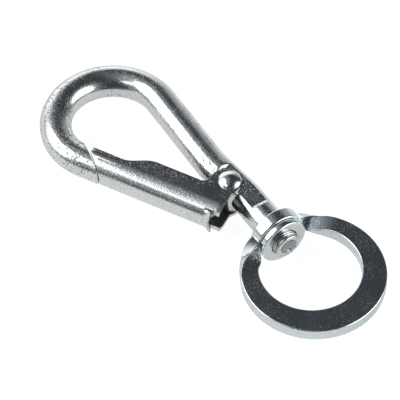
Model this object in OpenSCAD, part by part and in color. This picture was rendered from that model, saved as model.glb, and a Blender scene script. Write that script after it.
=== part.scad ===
// Swivel snap hook: a forged round-bar hook with a folded sheet gate and a twisted ring eye.
// The origin is the centre of the ring, +X runs out along the swivel axis, away from the hook,
// and +Z is square to the flat of the ring. The gate is closed. All sizes are in millimetres.

/* [Bar of the hook] */
// Diameter of the round bar
bar_d = 8; // [7:0.1:9]
// Straight shank between the swivel shoulder and the first bend
shank_l = 9.6; // [8:0.1:12]
// Angle of the slight jog under the pivot
jog_a = 6; // [0:0.5:8]
// Straight run inside the jog
jog_l = 10; // [8:0.5:12]
// Bend radius at both ends of the jog
jog_r = 25; // [15:1:40]
// Lean of the spine away from the swivel axis
lean_a = 2; // [0:0.5:4]
// Straight part of the spine
spine_l = 22.7; // [20:0.1:32]
// Centreline radius of the bow
bow_r = 14.1; // [13:0.1:16]
// Turn of the bow
bow_a = 170; // [166:1:174]
// Centreline radius of the curl that ends in the nose
curl_r = 12.8; // [11:0.1:14]
// Turn of the curl
curl_a = 41; // [37:1:45]
// Straight part of the nose, up to the middle of its slanted face
nose_l = 2.3; // [1:0.1:4]
// Angle between the slanted nose face and the bar
nose_cut_a = 42; // [40:1:60]

/* [Pivot] */
// Distance from the swivel shoulder back to the rivet
pivot_back = 14.6; // [13.6:0.1:16]
// Distance of the rivet below the swivel axis
pivot_drop = 2.4; // [1.8:0.1:2.8]
// Thickness of the hook between its two pressed flats
flat_t = 6.6; // [6:0.1:6.8]
// Length of the flats in front of the rivet, towards the ring
flat_ahead = 9.2; // [6:0.1:10]
// Length of the flats behind the rivet, towards the bow
flat_behind = 4.7; // [4.6:0.1:6]
// Radius of the forged lobe that carries the rivet hole
lobe_r = 3.7; // [3:0.1:3.8]
// Diameter of the rivet's shank
rivet_d = 3; // [2.4:0.1:3.6]
// Diameter of the rivet's domed heads
head_d = 5.6; // [4.8:0.1:6.2]
// Height of the rivet's domed heads
head_h = 1.5; // [1:0.1:2]
// Height of the straight rim under each dome
head_rim = 0.3; // [0.1:0.1:0.5]

/* [Gate] */
// Thickness of the sheet that the gate is folded from
sheet_t = 1.1; // [0.8:0.1:1.3]
// Distance from the rivet out to the axis of the rounded back
gate_drop = 6.9; // [6.4:0.1:7.4]
// Distance of the nose's axis outside the axis of the rounded back
nose_out = 0.85; // [0.4:0.05:1.1]
// Distance from the middle of the nose face back to the square tip of the gate
tip_back = 0.1; // [-0.4:0.1:0.6]
// Free edge of the cheeks at the tip, above the axis of the back
tip_rise = 0.7; // [0.5:0.1:1.2]
// Free edge of the cheeks along their middle, above the axis of the back
cheek_rise = 3.9; // [3.4:0.1:4.2]
// Distance from the tip to the start of the rise in the cheeks
rise_at = 7.8; // [6:0.1:10]
// Length of the rise in the cheeks
rise_l = 8.2; // [5:0.1:10]
// Radius of the ears around the rivet
ear_r = 4; // [3.8:0.1:4.3]
// How far the round of the ears sits from the rivet towards the nose
ear_back = 0.8; // [0.4:0.1:1]
// How far the round of the ears sits from the rivet towards the back
ear_low = 1; // [0.6:0.1:1.2]
// Fillet between the cheeks' edge and the ears
ear_fillet = 1.6; // [1:0.1:2.4]
// Length of the cheeks beyond the rivet
tail_l = 2; // [1.4:0.1:2.6]
// Lower corner of the cheeks' tail, below the axis of the back
tail_drop = 2.7; // [2.2:0.1:3]
// How far the rounded back stops short of the cheeks' tail
back_notch = 1.9; // [1.5:0.1:3]
// Length of the lip that flares out at the end of the rounded back
lip_l = 2; // [1.5:0.1:2.5]
// How far the end of the lip stands out
lip_out = 0.8; // [0.4:0.1:1]
// Slit between the lip and each cheek's tail
lip_slit = 0.3; // [0.2:0.1:0.5]

/* [Spring] */
// Wire diameter of the gate spring
wire_d = 0.9; // [0.7:0.1:1]
// Outside diameter of the coil
coil_d = 5.4; // [5:0.1:5.6]
// Whole turns in the coil
coil_turns = 3; // [2:1:3]
// Distance of the coil from the rivet towards the nose
coil_back = 3.2; // [3:0.1:3.6]
// Length of the leg that lies in the gate's back
gate_leg_l = 13; // [8:0.5:18]

/* [Swivel] */
// Diameter of the swivel stud
stud_d = 6.6; // [5.6:0.1:6.8]
// Length of stud that stands out of the end washer
stud_proud = 1.7; // [1:0.1:3]
// Diameter of the dimple in the stud's end
dimple_d = 4.4; // [3:0.1:4.6]
// Depth of the dimple in the stud's end
dimple_h = 0.7; // [0.4:0.1:0.9]
// Outside diameter of the end washer
washer_d = 12.4; // [11:0.1:12.8]
// Thickness of the end washer
washer_t = 1.7; // [1.2:0.1:2.2]

/* [Ring] */
// Outside diameter of the ring
ring_d = 34.8; // [33:0.2:40]
// Diameter of the ring's hole
ring_hole_d = 24.6; // [22:0.2:25]
// Distance of the hole's centre from the ring's centre, towards the lug
hole_shift = 1.4; // [1:0.1:1.8]
// Thickness of the ring's sheet
ring_t = 3.4; // [2.8:0.1:3.6]
// Radius on the edges of the ring
ring_edge = 0.4; // [0.3:0.1:0.8]
// Diameter of the round lug on the swivel axis
lug_d = 13; // [12.4:0.1:13.6]
// Angle from the far side of the ring at which its arms begin to twist
twist_start = 122; // [116:1:128]
// Angle from the far side of the ring at which its arms stand upright
twist_end = 178; // [174:1:182]
// Angle where the arms start to draw towards the plane of the lug
draw_start = 139.5; // [137:0.5:142]
// Angle over which they draw to it
draw_over = 35; // [32:1:38]

/* [Clearances] */
// Gap on each side between the cheeks and the flats
side_gap = 0.1; // [0.05:0.05:0.2]
// Gap between the gate's front edge and the nose
nose_gap = 0.3; // [0.2:0.05:0.4]
// Gap around the rivet's shank
rivet_gap = 0.05; // [0.03:0.01:0.08]
// Gap under the rivet's heads
head_gap = 0.1; // [0.05:0.05:0.2]
// Gap between the spring and what it rests on
spring_gap = 0.12; // [0.1:0.01:0.2]
// Gap around the stud in the ring's lug
stud_gap = 0.08; // [0.05:0.01:0.1]
// Gap around the stud in the end washer
washer_gap = 0.25; // [0.1:0.05:0.4]
// End play on each side of the lug
end_play = 0.15; // [0.1:0.05:0.25]
// Gap around the washer in its spot face
seat_gap = 0.3; // [0.2:0.05:0.4]
// Chamfer on the rims of the stud, the lug and the washer
rim = 0.4; // [0.2:0.1:0.6]

/* [Hidden] */
$fn = 96;
// Longer and wider than the whole hook
far = 120;
bar_sides = 32;
bend_step = 6;
wire_sides = 8;
wire_step = 30;
ring_step = 4;
edge_step = 30;

// Planes square to the swivel axis, from the hook outwards
lug_x = -(ring_d / 2 + ring_hole_d / 2 + hole_shift) / 2;
shoulder_x = lug_x - ring_t / 2 - end_play;
washer_x = lug_x + ring_t / 2 + end_play;
stud_end_x = washer_x + washer_t + stud_proud;

// Way of the bar in plan, as [x, y, heading]
function ahead(q, l) = [q.x + l * cos(q.z), q.y + l * sin(q.z), q.z];
function turned(q, r, a) =
    let (s = r * sign(a), h = q.z + a)
    [q.x + s * (sin(h) - sin(q.z)), q.y - s * (cos(h) - cos(q.z)), h];

// Each step of the bar is a straight run and a bend: [run, bend radius, turn to the left]
bar_steps = [
    [shank_l, jog_r, jog_a],
    [jog_l, jog_r, -(jog_a + lean_a)],
    [spine_l, bow_r, bow_a],
    [0, curl_r, curl_a]
];
function bar_at(i) =
    i == 0 ? [shoulder_x, 0, 180]
    : let (step = bar_steps[i - 1]) turned(ahead(bar_at(i - 1), step[0]), step[1], step[2]);
nose = ahead(bar_at(len(bar_steps)), nose_l);

// The gate's own frame: x along its rounded back from the nose to the pivot, y towards the spine
pivot = [shoulder_x - pivot_back, -pivot_drop];
nose_dir = [pivot.x - nose.x, pivot.y - nose.y];
nose_far = norm(nose_dir);
gate_a = atan2(nose_dir.y, nose_dir.x) - asin((gate_drop + nose_out) / nose_far);
gate_in = [-sin(gate_a), cos(gate_a)];
gate_at = [pivot.x - gate_drop * gate_in.x, pivot.y - gate_drop * gate_in.y];
nose_x = -sqrt(pow(nose_far, 2) - pow(gate_drop + nose_out, 2));
function to_gate(p) =
    let (d = [p.x - gate_at.x, p.y - gate_at.y])
    [d.x * cos(gate_a) + d.y * sin(gate_a), d.y * cos(gate_a) - d.x * sin(gate_a)];

// Gate sections: outer and inner half widths across the cheeks
gate_half = flat_t / 2 + side_gap + sheet_t;
gate_hollow = gate_half - sheet_t;
tip_x = nose_x + tip_back;
rise_x = tip_x + rise_at;
ear = [-ear_back, gate_drop - ear_low];
fillet_y = cheek_rise + ear_fillet;
fillet_x = ear.x - sqrt(pow(ear_r + ear_fillet, 2) - pow(ear.y - fillet_y, 2));
fillet_a = atan2(ear.y - fillet_y, ear.x - fillet_x);
tail_a = -acos((tail_l - ear.x) / ear_r);
lip_x = tail_l - back_notch - lip_l;

// Spring: a coil that lies in the gate's back, with one leg along the gate and one to the spine
wire_r = wire_d / 2;
coil_r = coil_d / 2 - wire_r;
coil_pitch = wire_d + spring_gap;
coil_half = (coil_turns + 0.5) * coil_pitch / 2 + wire_r;
coil = [-coil_back, coil_d / 2 + spring_gap - sqrt(pow(gate_hollow, 2) - pow(coil_half, 2))];
rest_x = pivot.x - ear_r - wire_d / 2;
rest_z = coil_half - wire_r;
rest_bar = ahead(bar_at(1), (bar_at(1).x - rest_x) / cos(jog_a));
rest_off = sqrt(pow(bar_d / 2 + wire_d + spring_gap, 2) - pow(rest_z, 2));
rest = to_gate([rest_bar.x - rest_off * sin(rest_bar.z), rest_bar.y + rest_off * cos(rest_bar.z)]);
rest_dir = [rest.x - coil.x, rest.y - coil.y];
leave_a = atan2(rest_dir.y, rest_dir.x) + asin(coil_r / norm(rest_dir)) - 90;
coil_turn = 360 * coil_turns + 90 + leave_a;

function unit(v) = v / norm(v);

// Closed solid over a list of rings of points, each ring wound the same way
module skin(rings) {
    n = len(rings[0]);
    last = len(rings) - 1;
    walls = [for (i = [0:last - 1], j = [0:n - 1], k = [0, 1])
        let (a = i * n + j, b = i * n + (j + 1) % n)
        k == 0 ? [a, b, b + n] : [a, b + n, a + n]];
    ends = [[for (j = [n - 1:-1:0]) j], [for (j = [0:n - 1]) last * n + j]];
    polyhedron(points = [for (r = rings, p = r) p], faces = concat(walls, ends));
}

// Disc along +X from the origin, with both rims chamfered
module disc(d, t) {
    rotate([0, 90, 0])
    rotate_extrude()
        polygon([[0, 0], [d / 2 - rim, 0], [d / 2, rim], [d / 2, t - rim], [d / 2 - rim, t], [0, t]]);
}

// Everything inside is placed in the gate's frame
module in_gate() {
    translate([gate_at.x, gate_at.y, 0]) rotate(gate_a) children();
}

// Ring of points around the bar at the station q
function bar_ring(q) =
    [for (i = [0:bar_sides - 1])
        let (a = 360 * i / bar_sides, out = bar_d / 2 * cos(a))
        [q.x + out * sin(q.z), q.y - out * cos(q.z), bar_d / 2 * sin(a)]];

// Stations round the bend that ends step i
function bend_stations(i) =
    let (
        r = bar_steps[i][1],
        turn = bar_steps[i][2],
        start = ahead(bar_at(i), bar_steps[i][0]),
        n = ceil(abs(turn) / bend_step)
    )
    turn == 0 ? [start] : [for (k = [0:n]) turned(start, r, turn * k / n)];

module bent_bar() {
    bends = [for (i = [0:len(bar_steps) - 1], q = bend_stations(i)) bar_ring(q)];
    skin(concat([bar_ring(bar_at(0))], bends, [bar_ring(ahead(nose, 2 * bar_d))]));
}

// Wedge beyond the slanted nose face
module nose_cut() {
    translate([nose.x, nose.y, 0]) rotate(nose.z + 90 - nose_cut_a)
    translate([0, -3 * bar_d, -bar_d]) cube([2 * bar_d, 4 * bar_d, 2 * bar_d]);
}

// What the press takes off above the upper flat, with ends that run out at 45 degrees
module flat_press() {
    top = bar_d;
    rise = top - flat_t / 2;
    translate([pivot.x, bar_d, 0]) rotate([90, 0, 0])
    linear_extrude(2 * bar_d)
        polygon([
            [-flat_behind, flat_t / 2], [flat_ahead, flat_t / 2],
            [flat_ahead + rise, top], [-flat_behind - rise, top]
        ]);
}

// Stud along the swivel axis, with a dimple punched in its end
module stud() {
    l = stud_end_x - shoulder_x;
    ball_r = (pow(dimple_d / 2, 2) + pow(dimple_h, 2)) / (2 * dimple_h);
    difference() {
        translate([shoulder_x, 0, 0]) disc(stud_d, l);
        translate([stud_end_x - dimple_h + ball_r, 0, 0]) sphere(r = ball_r);
    }
}

module rivet_hole() {
    translate([pivot.x, pivot.y, -bar_d]) cylinder(r = rivet_d / 2 + rivet_gap, h = 2 * bar_d);
}

module hook_body() {
    color("silver")
    difference() {
        union() {
            difference() {
                bent_bar();
                nose_cut();
                flat_press();
                mirror([0, 0, 1]) flat_press();
            }
            translate([pivot.x, pivot.y, -flat_t / 2]) cylinder(r = lobe_r, h = flat_t);
            stud();
        }
        rivet_hole();
    }
}

// Channel of folded sheet along the gate's own axis, open towards the spine
module gate_channel() {
    translate([tip_x - bar_d, 0, 0]) rotate([90, 0, 90])
    linear_extrude(-tip_x + 3 * bar_d)
    difference() {
        union() {
            circle(r = gate_half);
            translate([0, -gate_half]) square([2 * gate_drop, 2 * gate_half]);
        }
        union() {
            circle(r = gate_hollow);
            translate([0, -gate_hollow]) square([3 * gate_drop, 2 * gate_hollow]);
        }
    }
}

// Points of an arc around c, from angle a to angle b
function arc(c, r, a, b) =
    let (n = ceil(abs(b - a) / edge_step * 4))
    [for (i = [0:n]) let (t = a + (b - a) * i / n) [c.x + r * cos(t), c.y + r * sin(t)]];

// Outline of the gate seen square to its cheeks
module gate_outline() {
    rise = [for (u = [0:0.1:1])
        [rise_x + rise_l * u, tip_rise + (cheek_rise - tip_rise) * (1 - cos(180 * u)) / 2]];
    difference() {
        polygon(concat(
            [[tip_x, -far], [tip_x, tip_rise]],
            rise,
            arc([fillet_x, fillet_y], ear_fillet, -90, fillet_a),
            arc(ear, ear_r, fillet_a + 180, tail_a),
            [[tail_l, -tail_drop], [lip_x, -tail_drop], [lip_x, -far]]
        ));
        translate([nose_x, -nose_out]) rotate(nose.z - nose_cut_a - gate_a + 90)
        translate([-far, -far]) square([far + nose_gap, 2 * far]);
    }
}

// Flared end of the rounded back, parted from the cheeks by a slit on each side
module gate_lip() {
    intersection() {
        translate([lip_x, 0, 0]) rotate([0, 90, 0]) rotate_extrude()
            polygon([
                [gate_hollow, 0], [gate_half, 0],
                [gate_half + lip_out, lip_l], [gate_hollow + lip_out, lip_l]
            ]);
        translate([-far, -far - tail_drop - lip_slit, -bar_d]) cube([2 * far, far, 2 * bar_d]);
    }
}

module gate() {
    color("lightsteelblue")
    difference() {
        in_gate() {
            intersection() {
                gate_channel();
                translate([0, 0, -bar_d]) linear_extrude(2 * bar_d) gate_outline();
            }
            gate_lip();
        }
        rivet_hole();
    }
}

// Domed head with a low straight rim, standing on the XY plane
module rivet_head() {
    dome_h = head_h - head_rim;
    ball_r = (pow(head_d / 2, 2) + pow(dome_h, 2)) / (2 * dome_h);
    intersection() {
        cylinder(d = head_d, h = head_h);
        translate([0, 0, head_h - ball_r]) sphere(r = ball_r);
    }
}

module gate_rivet() {
    seat = gate_half + head_gap;
    color("gainsboro")
    translate([pivot.x, pivot.y, 0]) {
        translate([0, 0, -seat]) cylinder(d = rivet_d, h = 2 * seat);
        translate([0, 0, seat]) rivet_head();
        mirror([0, 0, 1]) translate([0, 0, seat]) rivet_head();
    }
}

// Ring of wire points around p, square to the direction t
function wire_ring(p, t) =
    let (side = unit(cross(t, [0, 0, 1])), up = cross(side, t))
    [for (i = [0:wire_sides - 1])
        let (a = 360 * i / wire_sides) p + wire_r * (cos(a) * side + sin(a) * up)];

module gate_spring() {
    coil_steps = ceil(coil_turn / wire_step);
    climb = 2 * rest_z;
    coil_points = [for (i = [0:coil_steps])
        let (u = i / coil_steps, a = -90 + coil_turn * u)
        [coil.x + coil_r * cos(a), coil.y + coil_r * sin(a), -rest_z + climb * u]];
    path = concat(
        [[coil.x - gate_leg_l, coil.y - coil_r, -rest_z]],
        coil_points,
        [[rest.x, rest.y, rest_z]]
    );
    last = len(path) - 1;
    color("darkgray")
    in_gate()
        skin([for (i = [0:last]) wire_ring(path[i], unit(path[min(i + 1, last)] - path[max(i - 1, 0)]))]);
}

// Half widths of the ring's band: outer edge, and inner edge towards the angle a
function band_in(a) =
    sqrt(pow(ring_hole_d / 2, 2) - pow(hole_shift * sin(a), 2)) - hole_shift * cos(a);
function ease(u) = let (v = min(max(u, 0), 1)) v * v * (3 - 2 * v);
// The band's middle follows the ring, then straightens towards the plane of the lug
function band_mid(a) =
    let (
        b = abs(a),
        w = ease((b - draw_start) / draw_over),
        round_r = (ring_d / 2 + band_in(b)) / 2,
        r = (1 - w) * round_r + w * lug_x / cos(b)
    )
    [r * cos(a), r * sin(a), 0];
// Rounded section of the band in its own plane, w wide and ring_t thick
function band_section(w) =
    [for (c = [[1, 1, 0], [-1, 1, 90], [-1, -1, 180], [1, -1, 270]], a = [0:edge_step:90])
        [
            c[0] * (w / 2 - ring_edge) + ring_edge * cos(c[2] + a),
            c[1] * (ring_t / 2 - ring_edge) + ring_edge * sin(c[2] + a)
        ]];
function band_ring(a) =
    let (
        mid = band_mid(a),
        tangent = unit(band_mid(a + 0.5) - band_mid(a - 0.5)),
        out = [tangent.y, -tangent.x, 0],
        twist = 90 * ease((abs(a) - twist_start) / (twist_end - twist_start)),
        across = cos(twist) * out + sin(twist) * [0, 0, 1],
        through = cos(twist) * [0, 0, 1] - sin(twist) * out
    )
    [for (p = band_section(ring_d / 2 - band_in(abs(a)))) mid + p.x * across + p.y * through];

module swivel_ring() {
    end_a = 168;
    color("lightslategray")
    difference() {
        union() {
            skin([for (a = [-end_a:ring_step:end_a]) band_ring(a)]);
            translate([lug_x - ring_t / 2, 0, 0]) disc(lug_d, ring_t);
        }
        translate([lug_x - ring_t, 0, 0]) rotate([0, 90, 0])
            cylinder(r = stud_d / 2 + stud_gap, h = 2 * ring_t);
        // Spot face that the washer lies in
        translate([lug_x + ring_t / 2, 0, 0]) rotate([0, 90, 0])
            cylinder(r = washer_d / 2 + seat_gap, h = ring_t);
    }
}

module end_washer() {
    color("white")
    difference() {
        translate([washer_x, 0, 0]) disc(washer_d, washer_t);
        translate([washer_x - washer_t, 0, 0]) rotate([0, 90, 0])
            cylinder(r = stud_d / 2 + washer_gap, h = 3 * washer_t);
    }
}

hook_body();
gate();
gate_rivet();
gate_spring();
swivel_ring();
end_washer();
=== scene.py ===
"""The looks of a swivel snap hook in bright zinc-plated steel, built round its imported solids.

Lengths are written in millimetres and turned to metres by MM. Doubles nearer than WELD are merged,
and a place within NEAR of a plane or an axis counts as on it. The shared frame has its origin at
the centre of the ring, +X along the swivel axis away from the hook, and +Z square to the flat of
the ring. The spine lies along the axis and the gate and the bow lie on the -Y side.
"""

import logging
import math
from dataclasses import dataclass
from enum import Enum
from typing import Callable, Mapping, Protocol, Sequence

import bmesh
import bpy
from mathutils import Matrix, Vector


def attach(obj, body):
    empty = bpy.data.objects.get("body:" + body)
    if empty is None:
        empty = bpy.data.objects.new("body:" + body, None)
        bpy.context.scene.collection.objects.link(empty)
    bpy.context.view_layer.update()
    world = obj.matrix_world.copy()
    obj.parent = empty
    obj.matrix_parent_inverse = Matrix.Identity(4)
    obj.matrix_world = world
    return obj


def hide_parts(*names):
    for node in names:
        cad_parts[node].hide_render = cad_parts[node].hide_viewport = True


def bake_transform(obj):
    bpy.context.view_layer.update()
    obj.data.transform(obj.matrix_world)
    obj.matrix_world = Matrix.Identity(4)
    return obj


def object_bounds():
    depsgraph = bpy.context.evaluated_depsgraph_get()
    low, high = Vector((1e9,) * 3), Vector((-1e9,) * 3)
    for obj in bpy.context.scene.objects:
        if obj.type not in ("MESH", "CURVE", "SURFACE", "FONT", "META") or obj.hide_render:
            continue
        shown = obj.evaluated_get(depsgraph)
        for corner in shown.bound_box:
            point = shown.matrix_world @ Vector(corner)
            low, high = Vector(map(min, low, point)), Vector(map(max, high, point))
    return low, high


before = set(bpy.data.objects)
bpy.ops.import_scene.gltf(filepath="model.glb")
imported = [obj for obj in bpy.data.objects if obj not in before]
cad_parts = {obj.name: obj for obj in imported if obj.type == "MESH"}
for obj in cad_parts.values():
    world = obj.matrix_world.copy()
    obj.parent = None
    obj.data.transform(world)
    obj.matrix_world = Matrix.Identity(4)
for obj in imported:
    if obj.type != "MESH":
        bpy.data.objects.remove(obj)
CAD_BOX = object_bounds()

MM = 0.001
WELD = 0.004
NEAR = 0.01
LOG = logging.getLogger("snap_hook")

Piece = bpy.types.Object
Outline = list[tuple[float, float]]
FaceTest = Callable[[Vector, Vector], bool]

# A node's input, known by its name or place, takes another socket or a plain value.
Socket = bpy.types.NodeSocket
Source = Socket | float | Sequence[float]
Feeds = Mapping[int | str, Source]


class Finish(Enum):
    """The finishes of the hook's pieces, by the name of their material slot."""

    FORGED = "forged_zinc"
    TURNED = "turned_zinc"
    # Painted shade: a dark bluish tone that stands in for the shade and the dark reflection in the
    # stud's dimple.
    PUNCHED = "punched_zinc"
    PRESSED = "pressed_zinc"
    SHEET = "sheet_zinc"
    # Painted shade: a dark, dull tone that stands in for the shade inside the gate's channel and in
    # the gap at the nose.
    INSIDE = "dull_inside"
    RIVET = "rivet_zinc"
    WIRE = "spring_wire"
    STAMPED = "stamped_zinc"


class Part(Enum):
    """What a selection in edit mode is made of."""

    VERTS = "VERT"
    FACES = "FACE"


class Axis(Enum):
    """The axis that a round piece is turned about."""

    X = (1.0, 0.0, 0.0)
    Z = (0.0, 0.0, 1.0)


class Work(Enum):
    """What one shell does to another."""

    CUT = "DIFFERENCE"
    JOIN = "UNION"
    TRIM = "INTERSECT"


# ---------------------------------------------------------------- bench


def deselect_all() -> None:
    """Deselects every object, so that the next operator acts on its own piece alone."""
    bpy.ops.object.select_all(action="DESELECT")


def use(piece: Piece) -> None:
    """Selects one piece alone and makes it the active one.

    Args:
        piece: The object to work on.
    """
    deselect_all()
    piece.select_set(True)
    bpy.context.view_layer.objects.active = piece


def settle(piece: Piece) -> None:
    """Puts a piece's place into its mesh and leaves its object at the origin."""
    use(piece)
    bpy.ops.object.transform_apply(location=True, rotation=True, scale=True)


def edit(piece: Piece) -> None:
    """Opens a piece in edit mode with nothing selected.

    Args:
        piece: The object to open.
    """
    use(piece)
    bpy.ops.object.mode_set(mode="EDIT")
    bpy.ops.mesh.select_all(action="DESELECT")


def done() -> None:
    """Goes back to object mode."""
    bpy.ops.object.mode_set(mode="OBJECT")


def pick(piece: Piece, part: Part, wanted: FaceTest) -> None:
    """Selects the vertices or faces of an open piece that a test on their place accepts.

    Args:
        piece: The object that is open in edit mode.
        part: What to select.
        wanted: Takes a middle in millimetres and a normal, and says whether to select it.
    """
    bpy.ops.mesh.select_mode(type=part.value)
    bpy.ops.mesh.select_all(action="DESELECT")
    mesh = bmesh.from_edit_mesh(piece.data)
    mesh.normal_update()
    if part is Part.VERTS:
        found = [(v, v.co / MM, v.normal) for v in mesh.verts]
    else:
        found = [(f, f.calc_center_median() / MM, f.normal) for f in mesh.faces]
    for element, middle, normal in found:
        if wanted(middle, normal):
            element.select_set(True)
    mesh.select_flush_mode()
    bmesh.update_edit_mesh(piece.data)


def close_shell() -> None:
    """Merges the doubles of the open piece and turns all its faces outwards."""
    bpy.ops.mesh.select_all(action="SELECT")
    bpy.ops.mesh.remove_doubles(threshold=WELD * MM)
    bpy.ops.mesh.select_all(action="SELECT")
    bpy.ops.mesh.normals_make_consistent(inside=False)


def apply(piece: Piece, kind: str, **settings: object) -> None:
    """Adds a modifier to a piece and applies it at once.

    Args:
        piece: The object that gets the modifier.
        kind: The modifier's type.
        **settings: The modifier's settings by name.
    """
    use(piece)
    modifier = piece.modifiers.new(kind.lower(), kind)
    for name, value in settings.items():
        setattr(modifier, name, value)
    bpy.ops.object.modifier_apply(modifier=modifier.name)


def combine(piece: Piece, tool: Piece, work: Work) -> None:
    """Cuts or trims a piece with a tool, or joins the two into one shell, and removes the tool.

    Args:
        piece: The object that is kept.
        tool: The object that cuts, trims or is added.
        work: What the tool does.
    """
    apply(piece, "BOOLEAN", operation=work.value, object=tool, solver="EXACT")
    bpy.data.objects.remove(tool, do_unlink=True)


def smooth(piece: Piece, angle: float) -> Piece:
    """Shades a piece smooth, with its sharp edges kept, and lets broad faces rule the shading.

    Args:
        piece: The object to shade.
        angle: Edges that turn further than this, in degrees, stay sharp.

    Returns:
        The same piece.
    """
    use(piece)
    bpy.ops.object.shade_smooth_by_angle(angle=math.radians(angle))
    apply(piece, "WEIGHTED_NORMAL", mode="FACE_AREA", weight=50, keep_sharp=True)
    return piece


def round_rim(radius: float) -> None:
    """Rounds the rim of the selected faces by a radius in millimetres."""
    bpy.ops.mesh.bevel(offset=radius * MM, segments=3, affect="EDGES", clamp_overlap=False)


def open_circle(
    name: str,
    centre: Sequence[float],
    radius: float,
    sides: int,
    axis: Axis = Axis.X,
) -> Piece:
    """Adds a ring of edges and leaves it open in edit mode with all of it selected.

    Args:
        name: The new piece's name.
        centre: The middle of the ring, in millimetres.
        radius: The ring's radius, in millimetres.
        sides: How many edges the ring has.
        axis: The axis that the ring is square to.

    Returns:
        The new object.
    """
    deselect_all()
    turn = (0.0, math.pi / 2, 0.0) if axis is Axis.X else (0.0, 0.0, 0.0)
    bpy.ops.mesh.primitive_circle_add(
        vertices=sides,
        radius=radius * MM,
        fill_type="NOTHING",
        location=[c * MM for c in centre],
        rotation=turn,
    )
    piece = bpy.context.object
    piece.name = name
    piece.data.name = name
    settle(piece)
    edit(piece)
    bpy.ops.mesh.select_all(action="SELECT")
    return piece


def extrude(step: Sequence[float]) -> None:
    """Extrudes what is selected by a step in millimetres."""
    bpy.ops.mesh.extrude_region_move(TRANSFORM_OT_translate={"value": [s * MM for s in step]})


def spin(centre: Sequence[float], axis: Sequence[float], angle: float, steps: int) -> None:
    """Spins what is selected round an axis, by the right-hand rule.

    Args:
        centre: A point on the axis, in millimetres.
        axis: The axis.
        angle: How far to turn, in degrees.
        steps: How many sections the turn has.
    """
    bpy.ops.mesh.spin(
        steps=steps,
        dupli=False,
        angle=-math.radians(angle),
        center=[c * MM for c in centre],
        axis=axis,
    )


def lathe(
    name: str,
    profile: Outline,
    centre: Sequence[float] = (0.0, 0.0, 0.0),
    axis: Axis = Axis.X,
    sides: int = 96,
) -> Piece:
    """Turns a round piece from its profile.

    Args:
        name: The new piece's name.
        profile: Points as (distance along the axis, radius), in millimetres, from end to end.
        centre: Where the axis starts, in millimetres.
        axis: What it is turned about.
        sides: How many sections the turn has.

    Returns:
        The new object, in object mode.
    """
    piece = open_circle(name, (0.0, 0.0, 0.0), 1.0, len(profile))
    mesh = bmesh.from_edit_mesh(piece.data)
    mesh.verts.ensure_lookup_table()
    base = Vector(centre)
    for vert, (along, radius) in zip(mesh.verts, profile):
        spot = (along, radius, 0.0) if axis is Axis.X else (radius, 0.0, along)
        vert.co = (base + Vector(spot)) * MM
    closing = mesh.edges.get((mesh.verts[0], mesh.verts[len(profile) - 1]))
    if closing is not None and max(profile[0][1], profile[-1][1]) < NEAR:
        mesh.edges.remove(closing)
    bmesh.update_edit_mesh(piece.data)
    bpy.ops.mesh.select_all(action="SELECT")
    spin(centre, axis.value, 360.0, sides)
    close_shell()
    done()
    return piece


def plug(low: float, high: float, radius: float) -> Outline:
    """Profile of a plain cylinder between two places along its axis."""
    return [(low, 0.0), (low, radius), (high, radius), (high, 0.0)]


def arc(
    middle: tuple[float, float],
    radius: float,
    start: float,
    end: float,
    count: int,
) -> Outline:
    """Points along an arc.

    Args:
        middle: The arc's middle.
        radius: Its radius.
        start: The angle of its first point, in degrees.
        end: The angle of its last point, in degrees.
        count: How many points it has.

    Returns:
        The points in order.
    """
    turns = [math.radians(start + (end - start) * i / (count - 1)) for i in range(count)]
    return [(middle[0] + radius * math.cos(t), middle[1] + radius * math.sin(t)) for t in turns]


def rims(low: float, high: float, radius: float, edge: float, count: int) -> Outline:
    """Outer profile of a disc, with both of its rims rounded.

    Args:
        low: Where the disc starts along its axis.
        high: Where it ends.
        radius: The disc's radius.
        edge: Radius of the rounding.
        count: How many points each rim has.

    Returns:
        The points from the low rim to the high one.
    """
    first = arc((low + edge, radius - edge), edge, 180.0, 90.0, count)
    return first + arc((high - edge, radius - edge), edge, 90.0, 0.0, count)


def ease(u: float) -> float:
    """Runs smoothly from 0 to 1 as u does."""
    v = min(max(u, 0.0), 1.0)
    return v * v * (3 - 2 * v)


# ---------------------------------------------------------------- sizes


@dataclass(frozen=True)
class HookPlan:
    """The sizes that several pieces share, in millimetres and degrees.

    Attributes:
        bar_r: Radius of the round bar.
        pivot: Middle of the rivet, in plan.
        gate_turn: Direction of the gate's back.
        gate_drop: Distance from the rivet out to the axis of the rounded back.
        flat_half: Half the thickness of the hook between its flats.
        gate_half: Half the width over the cheeks.
        sheet: Thickness of the gate's sheet.
        lug_x: Middle plane of the lug.
        ring_t: Thickness of the ring.
        play: Gap on each side of the lug.
    """

    bar_r: float = 4.0
    pivot: tuple[float, float] = (-32.0, -2.4)
    gate_turn: float = 29.188
    gate_drop: float = 6.9
    flat_half: float = 3.3
    gate_half: float = 4.5
    sheet: float = 1.1
    lug_x: float = -15.55
    ring_t: float = 3.4
    play: float = 0.15

    @property
    def shoulder_x(self) -> float:
        """Plane of the shoulder that the lug turns against."""
        return self.lug_x - self.ring_t / 2 - self.play

    @property
    def washer_x(self) -> float:
        """Back plane of the end washer."""
        return self.lug_x + self.ring_t / 2 + self.play

    @property
    def gate_foot(self) -> Vector:
        """Foot of the rivet on the axis of the gate's back."""
        turn, (x, y) = math.radians(self.gate_turn), self.pivot
        across, along = self.gate_drop * math.sin(turn), self.gate_drop * math.cos(turn)
        return Vector((x + across, y - along, 0.0))

    @property
    def from_gate(self) -> Matrix:
        """The move from the gate's own frame to the shared one, in millimetres."""
        turn = Matrix.Rotation(math.radians(self.gate_turn), 4, "Z")
        return Matrix.Translation(self.gate_foot) @ turn


PLAN = HookPlan()


# ---------------------------------------------------------------- pieces


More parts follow.
